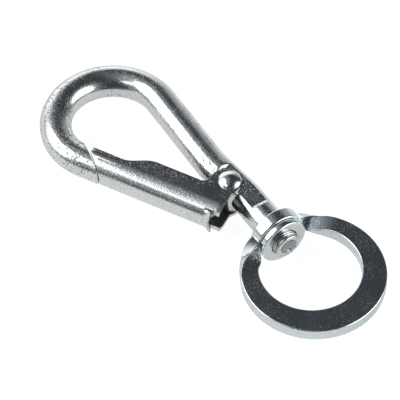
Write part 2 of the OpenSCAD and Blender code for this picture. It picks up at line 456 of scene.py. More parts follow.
@dataclass
class HookBody:
    """The forged hook: bow, spine, nose, flats, shank and the turned swivel stud.

    Attributes:
        shank: Straight length from the shoulder to the jog.
        jog: Straight length that steps the bar aside, between two bends.
        lean: How far the spine leans off the swivel axis, in degrees.
        nose: Length from the last bend to the middle of the nose's slanted face.
        nose_cut: Angle between the bar and the square of that face, in degrees.
        flat_ahead: How far the flats reach ahead of the rivet.
        flat_behind: How far they reach behind it.
        groove: One fine ring of the stud, as distances along it and depths.
        dimple: Depth of the dimple in the stud's end.
    """

    name: str = "forged_hook"
    sides: int = 64
    shank: float = 9.6
    jog: float = 10.0
    jog_r: float = 25.0
    jog_turn: float = 6.0
    lean: float = 2.0
    spine: float = 22.7
    bow_r: float = 14.1
    bow_turn: float = 170.0
    curl_r: float = 12.8
    curl_turn: float = 41.0
    nose: float = 2.3
    nose_cut: float = 42.0
    nose_edge: float = 0.25
    flat_ahead: float = 9.2
    flat_behind: float = 4.7
    shoulder_edge: float = 0.3
    lobe_r: float = 3.7
    lobe_edge: float = 0.2
    stud_r: float = 3.3
    stud_end: float = -10.3
    stud_edge: float = 0.35
    groove: tuple[tuple[float, float], ...] = ((0.0, 0.0), (0.1, 0.1), (0.25, 0.1), (0.35, 0.0))
    groove_pitch: float = 0.55
    dimple_r: float = 2.2
    dimple_edge: float = 0.12
    dimple: float = 0.9

    def build(self) -> Piece:
        """Builds the whole forging.

        Returns:
            The finished piece in object mode.
        """
        place, course = Vector((PLAN.shoulder_x, 0.0, 0.0)), 180.0
        piece = open_circle(self.name, place, PLAN.bar_r, self.sides)
        for size, turn, steps in self._route():
            if turn == 0.0:
                place = self._run(place, course, size, steps)
            else:
                place, course = self._bend(place, course, size, turn, steps)
        nose = place + self._way(course) * self.nose
        self._run(place, course, 4 * PLAN.bar_r, 1)
        close_shell()
        self._press_flats(piece)
        self._cut_nose(piece, nose, course)
        self._close_shoulder(piece)
        close_shell()
        done()
        combine(piece, self._stud(), Work.JOIN)
        combine(piece, self._lobe(), Work.JOIN)
        combine(piece, rivet_drill((*PLAN.pivot, 0.0)), Work.CUT)
        return smooth(piece, 30.0)

    def _route(self) -> tuple[tuple[float, float, int], ...]:
        """Works out the way of the bar from the shoulder to the nose.

        Returns:
            For each stretch its length or, where it bends, its radius, then the angle that it
            turns to the left in degrees, and its number of sections.
        """
        return (
            (self.shank, 0.0, 38),
            (self.jog_r, self.jog_turn, 10),
            (self.jog, 0.0, 48),
            (self.jog_r, -self.jog_turn - self.lean, 8),
            (self.spine, 0.0, 16),
            (self.bow_r, self.bow_turn, 60),
            (self.curl_r, self.curl_turn, 14),
        )

    @staticmethod
    def _way(course: float) -> Vector:
        """Unit vector in plan on a course in degrees."""
        return Vector((math.cos(math.radians(course)), math.sin(math.radians(course)), 0.0))

    def _run(self, place: Vector, course: float, length: float, steps: int) -> Vector:
        """Extrudes the open end straight on.

        Args:
            place: Middle of the open end.
            course: Its direction, in degrees.
            length: How far to go.
            steps: How many sections to make.

        Returns:
            The new middle of the open end.
        """
        step = self._way(course) * (length / steps)
        for _ in range(steps):
            extrude(step)
        return place + self._way(course) * length

    def _bend(
        self, place: Vector, course: float, radius: float, turn: float, steps: int
    ) -> tuple[Vector, float]:
        """Spins the open end round a bend.

        Args:
            place: Middle of the open end.
            course: Its direction, in degrees.
            radius: The bend's centreline radius.
            turn: How far to turn to the left, in degrees.
            steps: How many sections to make.

        Returns:
            The new middle of the open end and its direction.
        """
        side = self._way(course + 90) * math.copysign(radius, turn)
        spin(place + side, Axis.Z.value, turn, steps)
        return place + side - Matrix.Rotation(math.radians(turn), 3, "Z") @ side, course + turn

    def _press_flats(self, piece: Piece) -> None:
        """Presses the two flats, with ends that run out at 45 degrees.

        Args:
            piece: The bar, open in edit mode.
        """
        low = PLAN.pivot[0] - self.flat_behind
        high = PLAN.pivot[0] + self.flat_ahead
        far_side = -9.0
        mesh = bmesh.from_edit_mesh(piece.data)
        for vert in mesh.verts:
            x, z = vert.co.x / MM, vert.co.z / MM
            limit = PLAN.flat_half + max(low - x, x - high, 0.0)
            if abs(z) > limit and vert.co.y / MM > far_side:
                vert.co.z = math.copysign(limit, z) * MM
        bmesh.update_edit_mesh(piece.data)

    def _cut_nose(self, piece: Piece, nose: Vector, course: float) -> None:
        """Cuts the slanted face of the nose and rounds its rim.

        Args:
            piece: The bar, open in edit mode.
            nose: Middle of the slanted face.
            course: Direction of the bar there, in degrees.
        """
        out = self._way(course + 90 - self.nose_cut)
        reach, side_y, bow_x = 4.5 * PLAN.bar_r, -14.5, -70.0

        def on_end(middle: Vector, normal: Vector) -> bool:
            """Says whether a face lies on the bar's end, clear of the spine and the bow."""
            return (middle - nose).length < reach and middle.y < side_y and middle.x > bow_x

        def on_cut(middle: Vector, normal: Vector) -> bool:
            """Says whether a face is the new slanted one."""
            return abs((middle - nose).dot(out)) < NEAR and abs(normal.dot(out)) > 0.99

        pick(piece, Part.FACES, on_end)
        bpy.ops.mesh.bisect(
            plane_co=nose * MM, plane_no=out, use_fill=True, clear_outer=True, clear_inner=False
        )
        pick(piece, Part.FACES, on_cut)
        round_rim(self.nose_edge)

    def _close_shoulder(self, piece: Piece) -> None:
        """Closes the shoulder and rounds its rim.

        Args:
            piece: The bar, open in edit mode.
        """
        pick(piece, Part.VERTS, lambda m, n: abs(m.x - PLAN.shoulder_x) < NEAR)
        bpy.ops.mesh.edge_face_add()
        round_rim(self.shoulder_edge)

    def _stud(self) -> Piece:
        """Turns the stud, with fine rings along it and a dimple punched in its end.

        Returns:
            The stud as a shell of its own.
        """
        end, r, edge = self.stud_end, self.stud_r, self.stud_edge
        foot, start = PLAN.shoulder_x - 1.0, PLAN.washer_x + 0.5
        profile = [(foot, 0.0), (foot, r)]
        while start < end - 2 * edge:
            profile += [(start + along, r - deep) for along, deep in self.groove]
            start += self.groove_pitch
        profile += arc((end - edge, r - edge), edge, 90.0, 0.0, 6)
        ball = (self.dimple_r**2 + self.dimple**2) / (2 * self.dimple)
        tilt = math.degrees(math.asin(self.dimple_r / ball))
        profile += [(end, self.dimple_r + self.dimple_edge), (end - 0.03, self.dimple_r + 0.02)]
        profile += arc((end - self.dimple + ball, 0.0), ball, 180.0 - tilt, 180.0, 10)[1:]
        return lathe("stud", profile)

    def _lobe(self) -> Piece:
        """Makes the round lobe that carries the rivet, a shade lower than the flats.

        Returns:
            The lobe's shell.
        """
        h = PLAN.flat_half - 0.02
        profile = [(-h, 0.0), *rims(-h, h, self.lobe_r, self.lobe_edge, 4), (h, 0.0)]
        return lathe("lobe", profile, (*PLAN.pivot, 0.0), Axis.Z)


@dataclass
class Gate:
    """The gate, folded from one sheet round its half-round back, with an ear on each side.

    Its own frame has X along the axis of the back, +Y towards the rivet, and the rivet over 0.

    Attributes:
        nose_x: Where a point of the nose's slanted face lies along the back.
        nose_out: How far that point lies below the axis.
        front_turn: Direction of the slanted front, in degrees.
        tip_rise: Height of the cheeks' free edge at the front.
        cheek_rise: Its height further back.
        rise_at: Distance from the front at which the free edge starts to rise.
        ear: Middle of the ear's round end.
        fillet: Radius of the corner between the free edge and the ear.
        tail_drop: How far below the axis the tail reaches.
        lip_out: How far the lip behind the slits flares.
        crease: Depth of the crease along the front of the cheeks.
        crease_y: Height of its lower edge.
        crease_fade: Share of its length over which it fades out at its rear end.
        curl: How far the free edge curls in there.
        curl_from: Height at which the curl starts.
        gap: Gap to the nose.
        rows: How many short rows of faces let the free edge curl.
        stretches: How many the back is extruded in, before those of the lip.
        end: Where the channel ends before it is trimmed.
        spare: Length that is folded past the front and trimmed off.
        trim: Reach of the blocks that trim the channel.
    """

    name: str = "folded_gate"
    sides: int = 192
    rows: int = 5
    row: float = 0.2
    stretches: int = 22
    lip_stretches: int = 10
    lip_stretch: float = 0.25
    end: float = 5.0
    nose_x: float = -34.426
    nose_out: float = 0.85
    front_turn: float = -42.188
    tip_x: float = -34.326
    tip_rise: float = 0.95
    cheek_rise: float = 3.9
    rise_at: float = 7.8
    rise_l: float = 8.2
    ear: tuple[float, float] = (-0.8, 5.9)
    ear_r: float = 4.0
    fillet: float = 1.6
    tail: float = 2.0
    tail_drop: float = 2.7
    lip_x: float = -1.9
    lip_l: float = 2.0
    lip_out: float = 0.8
    slit: float = 0.3
    crease: float = 0.1
    crease_l: float = 11.0
    crease_y: float = -1.35
    crease_slope: float = 0.25
    crease_fade: float = 0.8
    curl: float = 0.2
    curl_from: float = -0.4
    gap: float = 0.25
    rim: float = 0.13
    spare: float = 6.0
    trim: float = 12.0

    def build(self) -> Piece:
        """Builds the gate in its own frame and places it.

        Returns:
            The finished piece in object mode.
        """
        piece = self._channel()
        combine(piece, slab("outline", self._outline()), Work.TRIM)
        combine(piece, slab("front", self._front()), Work.CUT)
        combine(piece, rivet_drill((0.0, PLAN.gate_drop, 0.0)), Work.CUT)
        edit(piece)
        close_shell()
        self._flare(piece)
        self._crease(piece)
        done()
        apply(
            piece,
            "BEVEL",
            width=self.rim * MM,
            segments=2,
            limit_method="ANGLE",
            angle_limit=math.radians(50),
            use_clamp_overlap=False,
        )
        move_from_gate(piece)
        return smooth(piece, 40.0)

    def _channel(self) -> Piece:
        """Folds the plain channel: a half-round back with straight sides.

        Returns:
            The channel with its wall, in object mode.
        """
        start, bend = self.tip_x - self.spare, self.lip_x - 0.04
        piece = open_circle(self.name, (start, 0.0, 0.0), PLAN.gate_half, self.sides)
        pick(piece, Part.VERTS, lambda m, n: m.y > NEAR)
        bpy.ops.mesh.delete(type="VERT")
        pick(piece, Part.VERTS, lambda m, n: abs(m.y) < NEAR)
        for step in (*[self.row] * self.rows, 2 * PLAN.gate_drop - self.rows * self.row):
            extrude((0.0, step, 0.0))
        bpy.ops.mesh.select_mode(type="EDGE")
        bpy.ops.mesh.select_all(action="SELECT")
        stops = [start + (bend - start) * (i + 1) / self.stretches for i in range(self.stretches)]
        stops += [bend + self.lip_stretch * (i + 1) for i in range(self.lip_stretches)]
        stops += [self.end]
        for before, after in zip([start, *stops], stops):
            extrude((after - before, 0.0, 0.0))
        close_shell()
        pick(piece, Part.FACES, lambda m, n: abs(m.y) < 1.0)
        mesh = bmesh.from_edit_mesh(piece.data)
        probe = next(f for f in mesh.faces if f.select and f.calc_center_median().z > 0)
        if probe.normal.z < 0:
            bpy.ops.mesh.select_all(action="SELECT")
            bpy.ops.mesh.flip_normals()
        done()
        apply(piece, "SOLIDIFY", thickness=PLAN.sheet * MM, offset=-1.0, use_even_offset=True)
        return piece

    def _flare(self, piece: Piece) -> None:
        """Bends the lip at the end of the rounded back outwards.

        Args:
            piece: The gate in its own frame, open in edit mode, with the slits cut.
        """
        mesh = bmesh.from_edit_mesh(piece.data)
        for vert in mesh.verts:
            x, y, z = vert.co / MM
            u = (x - self.lip_x) / self.lip_l
            if u > 0 and y < -self.tail_drop - self.slit / 2:
                grown = 1 + self.lip_out * u * u / math.hypot(y, z)
                vert.co = Vector((x, y * grown, z * grown)) * MM
        bmesh.update_edit_mesh(piece.data)

    def _crease(self, piece: Piece) -> None:
        """Presses a shallow crease along the front of the cheeks and curls their free edge in.

        Args:
            piece: The gate in its own frame, open in edit mode.
        """
        mesh = bmesh.from_edit_mesh(piece.data)
        for vert in mesh.verts:
            x, y, z = vert.co / MM
            near = ease((self.tip_x + self.crease_l - x) / (self.crease_fade * self.crease_l))
            lift = self.crease * ease((y - self.crease_y) / self.crease_slope)
            risen = max(y - self.curl_from, 0.0) / (self.tip_rise - self.curl_from)
            curl = self.curl * risen**2
            if near > 0 and y < self.cheek_rise:
                vert.co.z += math.copysign(near * (lift - curl), z) * MM
        bmesh.update_edit_mesh(piece.data)

    def _outline(self) -> Outline:
        """Works out the outline seen square to the cheeks, in the gate's own frame.

        Returns:
            Its corners in order.
        """
        rise_x, steps = self.tip_x + self.rise_at, 16
        points = [(self.tip_x, -self.trim), (self.tip_x, self.tip_rise)]
        for i in range(steps + 1):
            u = i / steps
            lift = (self.cheek_rise - self.tip_rise) * (1 - math.cos(math.pi * u)) / 2
            points.append((rise_x + self.rise_l * u, self.tip_rise + lift))
        fy = self.cheek_rise + self.fillet
        fx = self.ear[0] - math.sqrt((self.ear_r + self.fillet) ** 2 - (self.ear[1] - fy) ** 2)
        turn = math.degrees(math.atan2(self.ear[1] - fy, self.ear[0] - fx))
        points += arc((fx, fy), self.fillet, -90.0, turn, 12)
        end = -math.degrees(math.acos((self.tail - self.ear[0]) / self.ear_r))
        points += arc(self.ear, self.ear_r, turn + 180.0, end, 48)[1:]
        lip_y, lip_end = -self.tail_drop - self.slit, self.lip_x + self.lip_l
        points += [(self.tail, -self.tail_drop), (self.lip_x, -self.tail_drop), (self.lip_x, lip_y)]
        points += [(lip_end, lip_y), (lip_end, -self.trim)]
        return points

    def _front(self) -> Outline:
        """Works out the outline of what slants the front off, just clear of the nose.

        Returns:
            Its corners in order.
        """
        turn, reach = math.radians(self.front_turn), 14.0
        way = Vector((math.cos(turn), math.sin(turn)))
        side = Vector((-way.y, way.x))
        foot = Vector((self.nose_x, -self.nose_out)) + side * self.gap
        along, off = way * reach, side * reach
        corners = (foot - along, foot + along, foot + along - off, foot - along - off)
        return [(corner.x, corner.y) for corner in corners]


def move_from_gate(piece: Piece) -> None:
    """Moves a piece from the gate's own frame to the shared one.

    Args:
        piece: The piece, built in the gate's own frame.
    """
    move = PLAN.from_gate
    move.translation = move.translation * MM
    piece.matrix_world = move
    settle(piece)


def slab(name: str, outline: Outline, half: float = 8.0) -> Piece:
    """Extrudes a flat outline both ways along Z, past both cheeks.

    Args:
        name: The new piece's name.
        outline: Points in plan, in millimetres.
        half: Half the height, in millimetres.

    Returns:
        The closed block, in object mode.
    """
    piece = open_circle(name, (0.0, 0.0, 0.0), 1.0, len(outline), Axis.Z)
    mesh = bmesh.from_edit_mesh(piece.data)
    mesh.verts.ensure_lookup_table()
    for vert, (x, y) in zip(mesh.verts, outline):
        vert.co = Vector((x, y, -half)) * MM
    bmesh.update_edit_mesh(piece.data)
    bpy.ops.mesh.select_all(action="SELECT")
    bpy.ops.mesh.edge_face_add()
    extrude((0.0, 0.0, 2 * half))
    close_shell()
    done()
    return piece


def rivet_drill(centre: Sequence[float]) -> Piece:
    """Makes the drill for the rivet's hole.

    Args:
        centre: A point on its axis, in millimetres.

    Returns:
        The drill's shell.
    """
    reach, radius = 9.0, 1.55
    return lathe("drill", plug(-reach, reach, radius), centre, Axis.Z, 48)


@dataclass
class Rivet:
    """The rivet that the gate turns on, with a dome on both sides."""

    name: str = "domed_rivet"
    shank_r: float = 1.5
    head_r: float = 2.8
    head_h: float = 1.5
    rim: float = 0.3
    edge: float = 0.08
    seat: float = PLAN.gate_half + 0.1

    def build(self) -> Piece:
        """Turns the rivet from end to end.

        Returns:
            The finished piece in object mode.
        """
        top = self._head()
        bottom = [(-along, r) for along, r in reversed(top)]
        return smooth(lathe(self.name, bottom + top, (*PLAN.pivot, 0.0), Axis.Z), 40.0)

    def _head(self) -> Outline:
        """Works out the profile of the upper half, from the shank to the dome's middle.

        Returns:
            The points in order.
        """
        dome = self.head_h - self.rim
        ball = (self.head_r**2 + dome**2) / (2 * dome)
        spread = math.degrees(math.asin(self.head_r / ball))
        middle = (self.seat + self.head_h - ball, 0.0)
        points = [(self.seat, self.shank_r), (self.seat, self.head_r - self.edge)]
        points += [(self.seat + self.edge, self.head_r)]
        points += [(self.seat + self.rim - 0.05, self.head_r)]
        return points + arc(middle, ball, spread - 2.0, 0.0, 16)


@dataclass
class EndWasher:
    """The loose washer between the lug and the stud's end."""

    name: str = "end_plate"
    outer: float = 6.2
    bore: float = 3.55
    thick: float = 1.7
    rim: float = 0.4
    bore_edge: float = 0.15

    def build(self) -> Piece:
        """Turns the washer, with its rims rounded.

        Returns:
            The finished piece in object mode.
        """
        low, high, edge = PLAN.washer_x, PLAN.washer_x + self.thick, self.bore_edge
        profile = [(low + edge, self.bore), (low, self.bore + edge)]
        profile += rims(low, high, self.outer, self.rim, 6)
        profile += [(high, self.bore + edge), (high - edge, self.bore)]
        return smooth(lathe(self.name, profile, sides=128), 40.0)


@dataclass
class SwivelRing:
    """The stamped ring, whose arms twist upright into the lug on the swivel axis.

    Angles are in degrees from +X, and the arms don't twist alike.

    Attributes:
        hole: Radius of the hole.
        shift: How far the hole's middle lies off the ring's.
        lug_rim: Radius of the rounding of the lug's rims.
        right_twist: Angles between which the right arm twists, about the cross axis.
        left_twist: The same for the left arm, which twists about its own run.
        draw_from: Angle at which the arms start to draw in to the lug.
        draw_over: Over how many degrees they do.
        end: Angle at which they end, inside the lug.
        stations: How many stretches the band is swept in.
    """

    name: str = "stamped_ring"
    outer: float = 17.4
    hole: float = 12.3
    shift: float = 1.4
    edge: float = 0.35
    lug_r: float = 6.5
    lug_rim: float = 0.5
    bore: float = 3.38
    right_twist: tuple[float, float] = (116.0, 178.0)
    left_twist: tuple[float, float] = (119.0, 162.0)
    draw_from: float = 139.5
    draw_over: float = 35.0
    end: float = 168.0
    stations: int = 168

    def build(self) -> Piece:
        """Sweeps the band, adds the lug and bores it.

        Returns:
            The finished piece in object mode.
        """
        piece = self._sweep()
        combine(piece, self._lug(), Work.JOIN)
        seat, reach = PLAN.lug_x + PLAN.ring_t / 2, 5.0
        combine(piece, lathe("spot_face", plug(seat, seat + reach, self.lug_r)), Work.CUT)
        start, length = PLAN.lug_x - 6.0, 12.0
        combine(piece, lathe("bore", plug(start, start + length, self.bore)), Work.CUT)
        return smooth(piece, 32.0)

    def _inner(self, angle: float) -> float:
        """Distance of the hole's edge from the ring's centre at an angle in degrees."""
        t = math.radians(angle)
        return math.sqrt(self.hole**2 - (self.shift * math.sin(t)) ** 2) - self.shift * math.cos(t)

    def _middle(self, angle: float) -> Vector:
        """Works out the middle of the band.

        Args:
            angle: Where along the band, in degrees.

        Returns:
            The middle, in millimetres.
        """
        b = abs(angle)
        w = ease((b - self.draw_from) / self.draw_over)
        plain = (self.outer + self._inner(b)) / 2
        r = (1 - w) * plain + w * PLAN.lug_x / math.cos(math.radians(b))
        return Vector((r * math.cos(math.radians(angle)), r * math.sin(math.radians(angle)), 0.0))

    def _section(self, angle: float) -> list[Vector]:
        """Works out the rounded section of the band.

        Args:
            angle: Where along the band, in degrees.

        Returns:
            The section's points, in millimetres.
        """
        middle = self._middle(angle)
        way = (self._middle(angle + 0.5) - self._middle(angle - 0.5)).normalized()
        out, up = Vector((way.y, -way.x, 0.0)), Vector((0.0, 0.0, 1.0))
        start, end = self.right_twist if angle > 0 else self.left_twist
        axis = Vector((0.0, 1.0, 0.0)) if angle > 0 else out.cross(up)
        twist = 90.0 * ease((abs(angle) - start) / (end - start))
        turn = Matrix.Rotation(math.radians(twist), 3, axis)
        across, through = turn @ out, turn @ up
        w, t = (self.outer - self._inner(angle)) / 2 - self.edge, PLAN.ring_t / 2 - self.edge
        flat: Outline = []
        for sx, sy, first in ((1, 1, 0.0), (-1, 1, 90.0), (-1, -1, 180.0), (1, -1, 270.0)):
            flat += arc((sx * w, sy * t), self.edge, first, first + 90.0, 6)
        return [middle + across * p + through * q for p, q in flat]

    def _sweep(self) -> Piece:
        """Sweeps the section round, one extruded station after another.

        Returns:
            The closed band, in object mode.
        """
        first = self._section(-self.end)
        piece = open_circle(self.name, (0.0, 0.0, 0.0), 1.0, len(first))
        self._place(piece, first)
        bpy.ops.mesh.edge_face_add()
        for i in range(1, self.stations + 1):
            extrude((0.0, 0.0, 0.0))
            self._place(piece, self._section(self.end * (2 * i / self.stations - 1)))
        close_shell()
        done()
        return piece

    @staticmethod
    def _place(piece: Piece, points: Sequence[Vector]) -> None:
        """Puts the selected vertices, in order, at the points of a section.

        Args:
            piece: The band, open in edit mode.
            points: The section's points, in millimetres.
        """
        mesh = bmesh.from_edit_mesh(piece.data)
        chosen = sorted((v for v in mesh.verts if v.select), key=lambda v: v.index)
        for vert, point in zip(chosen, points):
            vert.co = point * MM
        bmesh.update_edit_mesh(piece.data)

    def _lug(self) -> Piece:
        """Turns the round lug, with its rims rounded.

        Returns:
            The lug's shell.
        """
        low, high = PLAN.lug_x - PLAN.ring_t / 2, PLAN.lug_x + PLAN.ring_t / 2
        profile = [(low, 0.0), *rims(low, high, self.lug_r, self.lug_rim, 6), (high, 0.0)]
        return lathe("lug", profile, sides=128)


@dataclass
class GateSpring:
    """The torsion spring between the cheeks: a coil with a leg to the gate and one to the spine.

    It is wound in the gate's own frame.

    Attributes:
        wire: Radius of the wire.
        coil_r: Radius of the coil's centreline.
        centre: Axis of the coil.
        gate_leg: Length of the leg along the gate.
        rest: Where the other leg ends, on the spine.
        holds: Where the spring would still follow the hook, if it bent.
        swings: Where it would start to follow the gate.
    """

    name: str = "torsion_spring"
    wire: float = 0.45
    coil_r: float = 2.25
    pitch: float = 1.02
    turns: float = 3.357
    centre: tuple[float, float] = (-3.2, 0.258)
    gate_leg: float = 13.0
    rest: tuple[float, float] = (-4.979, 6.106)
    holds: tuple[float, float, float] = (-4.979, 5.6, 0.0)
    swings: tuple[float, float, float] = (-4.6, 2.6, 0.0)
    sections: int = 110

    def build(self) -> Piece:
        """Winds the coil and draws out its two legs.

        Returns:
            The finished piece in object mode.
        """
        (x, y), low = self.centre, -self.pitch * self.turns / 2
        start = (x, y - self.coil_r, low)
        piece = open_circle(self.name, start, self.wire, 12)
        done()
        axis = bpy.data.objects.new("coil_axis", None)
        bpy.context.scene.collection.objects.link(axis)
        axis.location = (x * MM, y * MM, 0.0)
        bpy.context.view_layer.update()
        apply(
            piece,
            "SCREW",
            axis="Z",
            object=axis,
            angle=2 * math.pi * self.turns,
            screw_offset=self.pitch * self.turns * MM,
            steps=self.sections,
            render_steps=self.sections,
            use_merge_vertices=False,
        )
        bpy.data.objects.remove(axis, do_unlink=True)
        edit(piece)
        pick(piece, Part.VERTS, lambda m, n: (m - Vector(start)).length < self.wire * 1.02)
        extrude((-self.gate_leg, 0.0, 0.0))
        bpy.ops.mesh.edge_face_add()
        turn = math.radians(-90.0 + 360.0 * self.turns)
        high = low + self.pitch * self.turns
        end = Vector((x + self.coil_r * math.cos(turn), y + self.coil_r * math.sin(turn), high))
        pick(piece, Part.VERTS, lambda m, n: (m - end).length < self.wire * 1.05)
        extrude((self.rest[0] - end.x, self.rest[1] - end.y, 0.0))
        bpy.ops.mesh.edge_face_add()
        close_shell()
        done()
        move_from_gate(piece)
        return smooth(piece, 40.0)


# ---------------------------------------------------------------- finishes


@dataclass(frozen=True)
class Zinc:
    """Bright zinc plate. With a dark tone it also serves as painted shade.

    Attributes:
        tone: Colour of the metal.
        rough: Roughness of the clean surface.
        speckle: How strongly the colour varies from grain to grain.
        grain: Grains to the metre, as a noise scale.
        specks: How much rougher the scattered matt grains are.
        pits: How dark the scattered pits are.
        bump: How strong the relief of the grain is.
        relief: Height of the relief at full strength.
        worn_at: Middle of the patch that wear has pitted most, in metres. By default it lies far
            off the hook.
    """

    tone: tuple[float, float, float] = (0.80, 0.83, 0.82)
    rough: float = 0.2
    speckle: float = 0.1
    grain: float = 2400.0
    specks: float = 0.3
    pits: float = 0.5
    bump: float = 0.3
    relief: float = 0.05
    worn_at: tuple[float, float, float] = (1.0, 1.0, 1.0)

    def make(self, name: str, group: bpy.types.NodeTree) -> bpy.types.Material:
        """Makes the material.

        Args:
            name: The material's name.
            group: The shared node group of the plated surface.

        Returns:
            The new material.
        """
        material = bpy.data.materials.new(name)
        wires = Wiring.on(material)
        plate = wires.add("Group", {})
        plate.node_tree = group
        feeds = {
            "Place": wires.add("TexCoord", {}).outputs["Object"],
            "Worn": self.worn_at,
            "Tone": (*self.tone, 1.0),
            "Rough": self.rough,
            "Speckle": self.speckle,
            "Grain": self.grain,
            "Specks": self.specks,
            "Pits": self.pits,
        }
        wires.feed(plate, feeds)
        height = plate.outputs["Height"]
        relief = {"Strength": self.bump, "Distance": self.relief * MM, "Height": height}
        surface = {
            "Metallic": 1.0,
            "Base Color": plate.outputs["Color"],
            "Roughness": plate.outputs["Roughness"],
            "Normal": wires.add("Bump", relief).outputs["Normal"],
        }
        metal = wires.add("BsdfPrincipled", surface)
        wires.add("OutputMaterial", {"Surface": metal.outputs["BSDF"]})
        return material


class Wiring:
    """Short ways to add and join the nodes of one tree."""

    def __init__(self, tree: bpy.types.NodeTree) -> None:
        """Keeps the tree that the nodes go into."""
        self.tree = tree

    @classmethod
    def on(cls, owner: bpy.types.Material | bpy.types.World) -> "Wiring":
        """Empties the tree of a material or a world and starts on it.

        Args:
            owner: Whose tree it is.

        Returns:
            The wiring of that tree.
        """
        owner.use_nodes = True
        owner.node_tree.nodes.clear()
        return cls(owner.node_tree)

    def link(self, source: Source, target: Socket) -> None:
        """Feeds a socket from another one or with a plain value."""
        if isinstance(source, Socket):
            self.tree.links.new(source, target)
        else:
            target.default_value = source

    def feed(self, node: bpy.types.Node, feeds: Feeds) -> None:
        """Feeds several inputs of a node, given by their names or places."""
        for key, source in feeds.items():
            self.link(source, node.inputs[key])

    def add(self, kind: str, feeds: Feeds, operation: str = "") -> bpy.types.Node:
        """Adds a node and feeds its inputs.

        Args:
            kind: The type of the shader node.
            feeds: What goes into its inputs.
            operation: What it works out, if it can work out several things.

        Returns:
            The new node.
        """
        node = self.tree.nodes.new(f"ShaderNode{kind}")
        if operation:
            node.operation = operation
        self.feed(node, feeds)
        return node

    def math(self, operation: str, *terms: Source) -> Socket:
        """Adds a Math node for an operation on some terms and returns its result."""
        return self.add("Math", dict(enumerate(terms)), operation).outputs["Value"]

    def noise(self, place: Socket, scale: Source, detail: float, shift: float) -> Socket:
        """Adds a noise and returns its value.

        Args:
            place: Where the surface is.
            scale: Grains to the metre.
            detail: How many finer layers it has.
            shift: Moves the noise, so that two of one scale differ.

        Returns:
            The noise, about 0.5 on average.
        """
        moved = self.add("VectorMath", {0: place, 1: (shift, shift, shift)}).outputs["Vector"]
        feeds = {"Vector": moved, "Scale": scale, "Detail": detail}
        return self.add("TexNoise", feeds).outputs["Fac"]

    def spread(
        self, value: Socket, low: float, high: float, start: float = 0.0, end: float = 1.0
    ) -> Socket:
        """Spreads the values between two limits over a new range, and cuts off what lies outside.

        Args:
            value: The value to spread.
            low: The value that becomes the start.
            high: The value that becomes the end.
            start: Where the new range starts.
            end: Where it ends.

        Returns:
            The spread value.
        """
        feeds = {"Value": value, "From Min": low, "From Max": high, "To Min": start, "To Max": end}
        return self.add("MapRange", feeds).outputs["Result"]

    def distance(self, a: Socket, b: Socket) -> Socket:
        """Measures from one place to another."""
        return self.add("VectorMath", {0: a, 1: b}, "DISTANCE").outputs["Value"]

    def scaled(self, vector: Source, by: Socket) -> Socket:
        """Scales a colour or a vector."""
        return self.add("VectorMath", {0: vector, "Scale": by}, "SCALE").outputs["Vector"]


def plate_group() -> bpy.types.NodeTree:
    """Builds the shared surface of plated steel: fine grain, matt specks, pits and cloudy gloss.

    Returns:
        The node group, with outputs Color, Roughness and Height.
    """
    tree = bpy.data.node_groups.new("plated_surface", "ShaderNodeTree")
    sockets = (
        ("INPUT", "Vector", ("Place", "Worn")),
        ("INPUT", "Color", ("Tone",)),
        ("INPUT", "Float", ("Rough", "Speckle", "Grain", "Specks", "Pits")),
        ("OUTPUT", "Color", ("Color",)),
        ("OUTPUT", "Float", ("Roughness", "Height")),
    )
    for way, kind, names in sockets:
        for name in names:
            tree.interface.new_socket(name, in_out=way, socket_type=f"NodeSocket{kind}")
    give = tree.nodes.new("NodeGroupInput").outputs
    take = tree.nodes.new("NodeGroupOutput").inputs
    wires = Wiring(tree)
    place, grains = give["Place"], give["Grain"]
    worn_r, clean_r = 4.0 * MM, 11.0 * MM

    # Grain: speckles the colour and roughens the height.
    grain = wires.noise(place, grains, detail=3.0, shift=0.0)
    light = wires.spread(grain, 0.3, 0.7, -1.0, 1.0)
    fleck = wires.math("MULTIPLY_ADD", light, give["Speckle"], 1.0)

    # Specks: small matt grains, which come in patches.
    fine = wires.noise(place, wires.math("MULTIPLY", grains, 1.3), detail=1.0, shift=0.47)
    patchy = wires.noise(place, 170.0, detail=2.0, shift=0.73)
    patches = wires.spread(patchy, 0.4, 0.6, 0.25, 1.0)
    specks = wires.math("MULTIPLY", wires.spread(fine, 0.64, 0.74), patches)

    # Pits: dark, in broad patches and all round the worn place.
    coarse = wires.noise(place, wires.math("MULTIPLY", grains, 0.8), detail=2.0, shift=0.91)
    broad = wires.spread(wires.noise(place, 110.0, detail=1.0, shift=0.19), 0.45, 0.6)
    close = wires.spread(wires.distance(place, give["Worn"]), clean_r, worn_r)
    worn = wires.math("MAXIMUM", broad, close)
    pits = wires.math("MULTIPLY", wires.spread(coarse, 0.58, 0.64), worn)
    clean = wires.math("SUBTRACT", 1.0, wires.math("MULTIPLY", pits, give["Pits"]))

    # Gloss: cloudy, and dulled by the specks.
    cloud = wires.noise(place, 220.0, detail=4.0, shift=0.31)
    gloss = wires.math("MULTIPLY", wires.spread(cloud, 0.3, 0.7, 0.8, 1.3), give["Rough"])

    wires.link(wires.scaled(give["Tone"], wires.math("MULTIPLY", fleck, clean)), take["Color"])
    wires.link(wires.math("MULTIPLY_ADD", specks, give["Specks"], gloss), take["Roughness"])
    wires.link(wires.math("SUBTRACT", wires.math("ADD", grain, specks), pits), take["Height"])
    return tree


